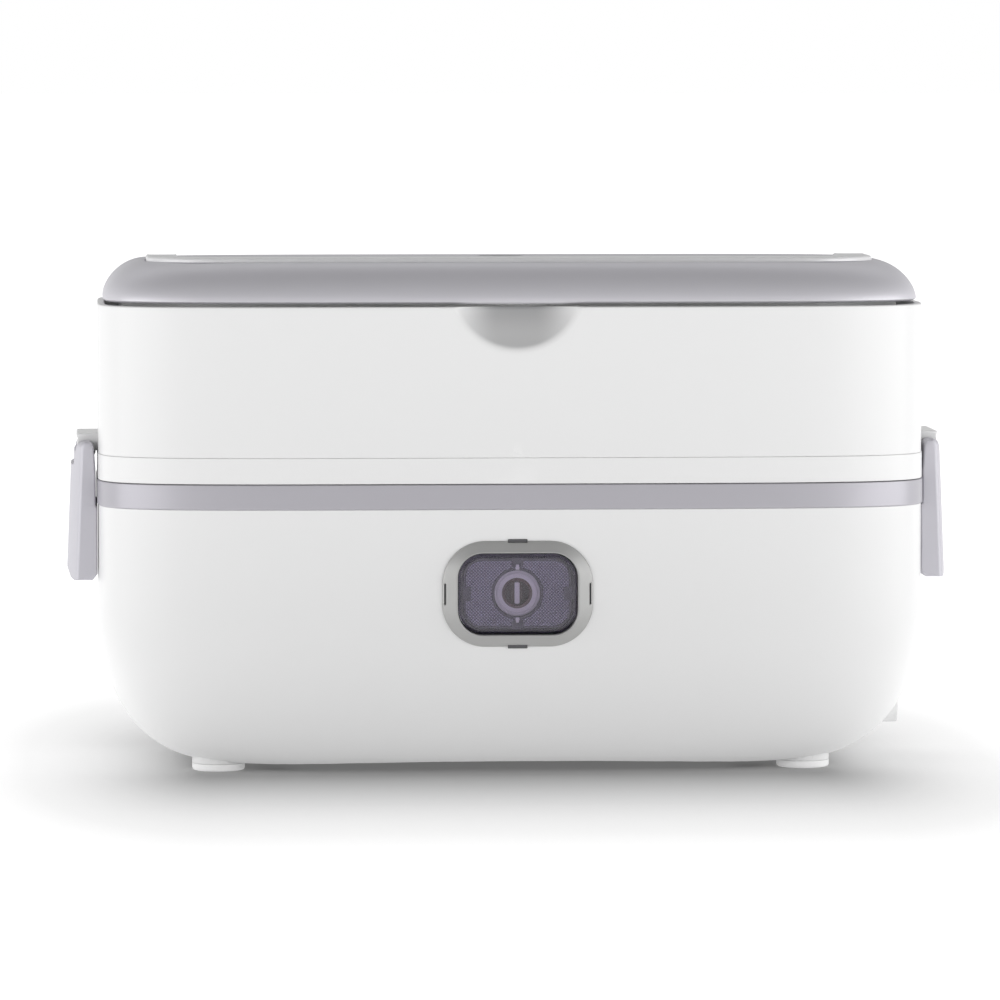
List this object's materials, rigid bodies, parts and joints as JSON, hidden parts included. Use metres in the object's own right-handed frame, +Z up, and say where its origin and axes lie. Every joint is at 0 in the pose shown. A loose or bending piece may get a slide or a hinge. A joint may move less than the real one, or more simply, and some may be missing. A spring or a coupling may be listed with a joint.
{
  "type": "electric lunch box",
  "caption": "Oblong two-tier heated lunch box with a hinged lid, a flat folding handle, side latches, a front push button and a side power inlet.",
  "frame": {"origin": "on the table under the middle of the box, level with the undersides of the feet", "axes": "+Z up, +X along the length towards the power inlet, the button faces -Y"},
  "size_m": [0.2528, 0.1132, 0.1459],
  "materials": {
    "white_shell": "satin",
    "grey_trim": "satin",
    "grey_lid": "satin",
    "grey_handle": "satin",
    "grey_latch": "satin",
    "grey_valve": "matte",
    "white_inner": "satin",
    "soft_foot": "matte",
    "silicone": "matte",
    "pan_steel": "brushed",
    "screw_steel": "zinc plated",
    "aluminium_plate": "cast",
    "heater_case": "matte",
    "fuse_body": "matte",
    "black_plastic": "fine grain",
    "pin_brass": "plated",
    "board_green": "lacquered",
    "lamp_holder": "gloss",
    "lamp_glass": "clear",
    "smoky_lens": "clear, smoky",
    "diffuser": "knurled",
    "bowl_cover": "satin",
    "wire_brown": "matte",
    "wire_blue": "matte",
    "wire_green": "matte",
    "wire_white": "matte"
  },
  "bodies": {
    "base": {"base_shell": "white_shell", "rim_band": "grey_trim", "bottom_cover": "white_shell", "foot_pads": "soft_foot", "cover_screws": "screw_steel", "heating_pan": "pan_steel", "pan_gasket": "silicone", "heat_spreader": "aluminium_plate", "ptc_heater": "heater_case", "heater_clamp": "screw_steel", "clamp_screws": "screw_steel", "thermostat": "black_plastic", "thermal_fuse": "fuse_body", "inlet_socket": "black_plastic", "inlet_pins": "pin_brass", "switch_bezel": "grey_trim", "switch_carrier": "black_plastic", "switch_board": "board_green", "push_switch": "black_plastic", "lamp_ring": "lamp_holder", "indicator_lamp": "lamp_glass", "live_wire": "wire_brown", "neutral_wire": "wire_blue", "earth_wire": "wire_green", "switch_wire": "wire_white"},
    "power_button": {"switch_lens": "smoky_lens", "switch_diffuser": "diffuser"},
    "tier": {"tier_shell": "white_shell", "tier_skirt": "white_shell", "tier_liner": "pan_steel", "tier_seal": "silicone", "latch_pins": "screw_steel", "lid_hinge_pins": "screw_steel"},
    "lid": {"lid_shell": "grey_lid", "lid_liner": "white_inner", "lid_seal": "silicone", "vent_valve": "grey_valve", "handle_pins": "screw_steel"},
    "handle": {"carry_handle": "grey_handle"},
    "left_latch": {"latch_left": "grey_latch"},
    "right_latch": {"latch_right": "grey_latch"},
    "bowl": {"rice_bowl": "pan_steel"},
    "bowl_cover": {"bowl_lid": "bowl_cover", "bowl_lid_seal": "silicone"}
  },
  "joints": [
    {"name": "tier_lift", "type": "slide", "parent": "base", "child": "tier", "axis": [0, 0, 1], "range_m": [0, 0.15]},
    {"name": "lid_hinge", "type": "hinge", "parent": "tier", "child": "lid", "pos_m": [0, 0.0554, 0.1342], "axis": [-1, 0, 0], "range_deg": [0, 100]},
    {"name": "handle_fold", "type": "hinge", "parent": "lid", "child": "handle", "pos_m": [0, 0, 0.143], "axis": [-1, 0, 0], "range_deg": [0, 90]},
    {"name": "latch_left_swing", "type": "hinge", "parent": "tier", "child": "left_latch", "pos_m": [-0.1207, 0, 0.0906], "axis": [0, 1, 0], "range_deg": [0, 88]},
    {"name": "latch_right_swing", "type": "hinge", "parent": "tier", "child": "right_latch", "pos_m": [0.1207, 0, 0.0906], "axis": [0, -1, 0], "range_deg": [0, 88]},
    {"name": "button_press", "type": "slide", "parent": "base", "child": "power_button", "axis": [0, 1, 0], "range_m": [0, 0.0015], "stiffness_N_per_m": 600},
    {"name": "bowl_lift", "type": "slide", "parent": "base", "child": "bowl", "axis": [0, 0, 1], "range_m": [0, 0.076]},
    {"name": "bowl_lid_lift", "type": "slide", "parent": "bowl", "child": "bowl_cover", "axis": [0, 0, 1], "range_m": [0, 0.031]}
  ],
  "couplings": [
    {"joint": "bowl_lift", "follows": "tier_lift", "ratio": 0.5},
    {"joint": "bowl_lid_lift", "follows": "tier_lift", "ratio": 0.2}
  ]
}
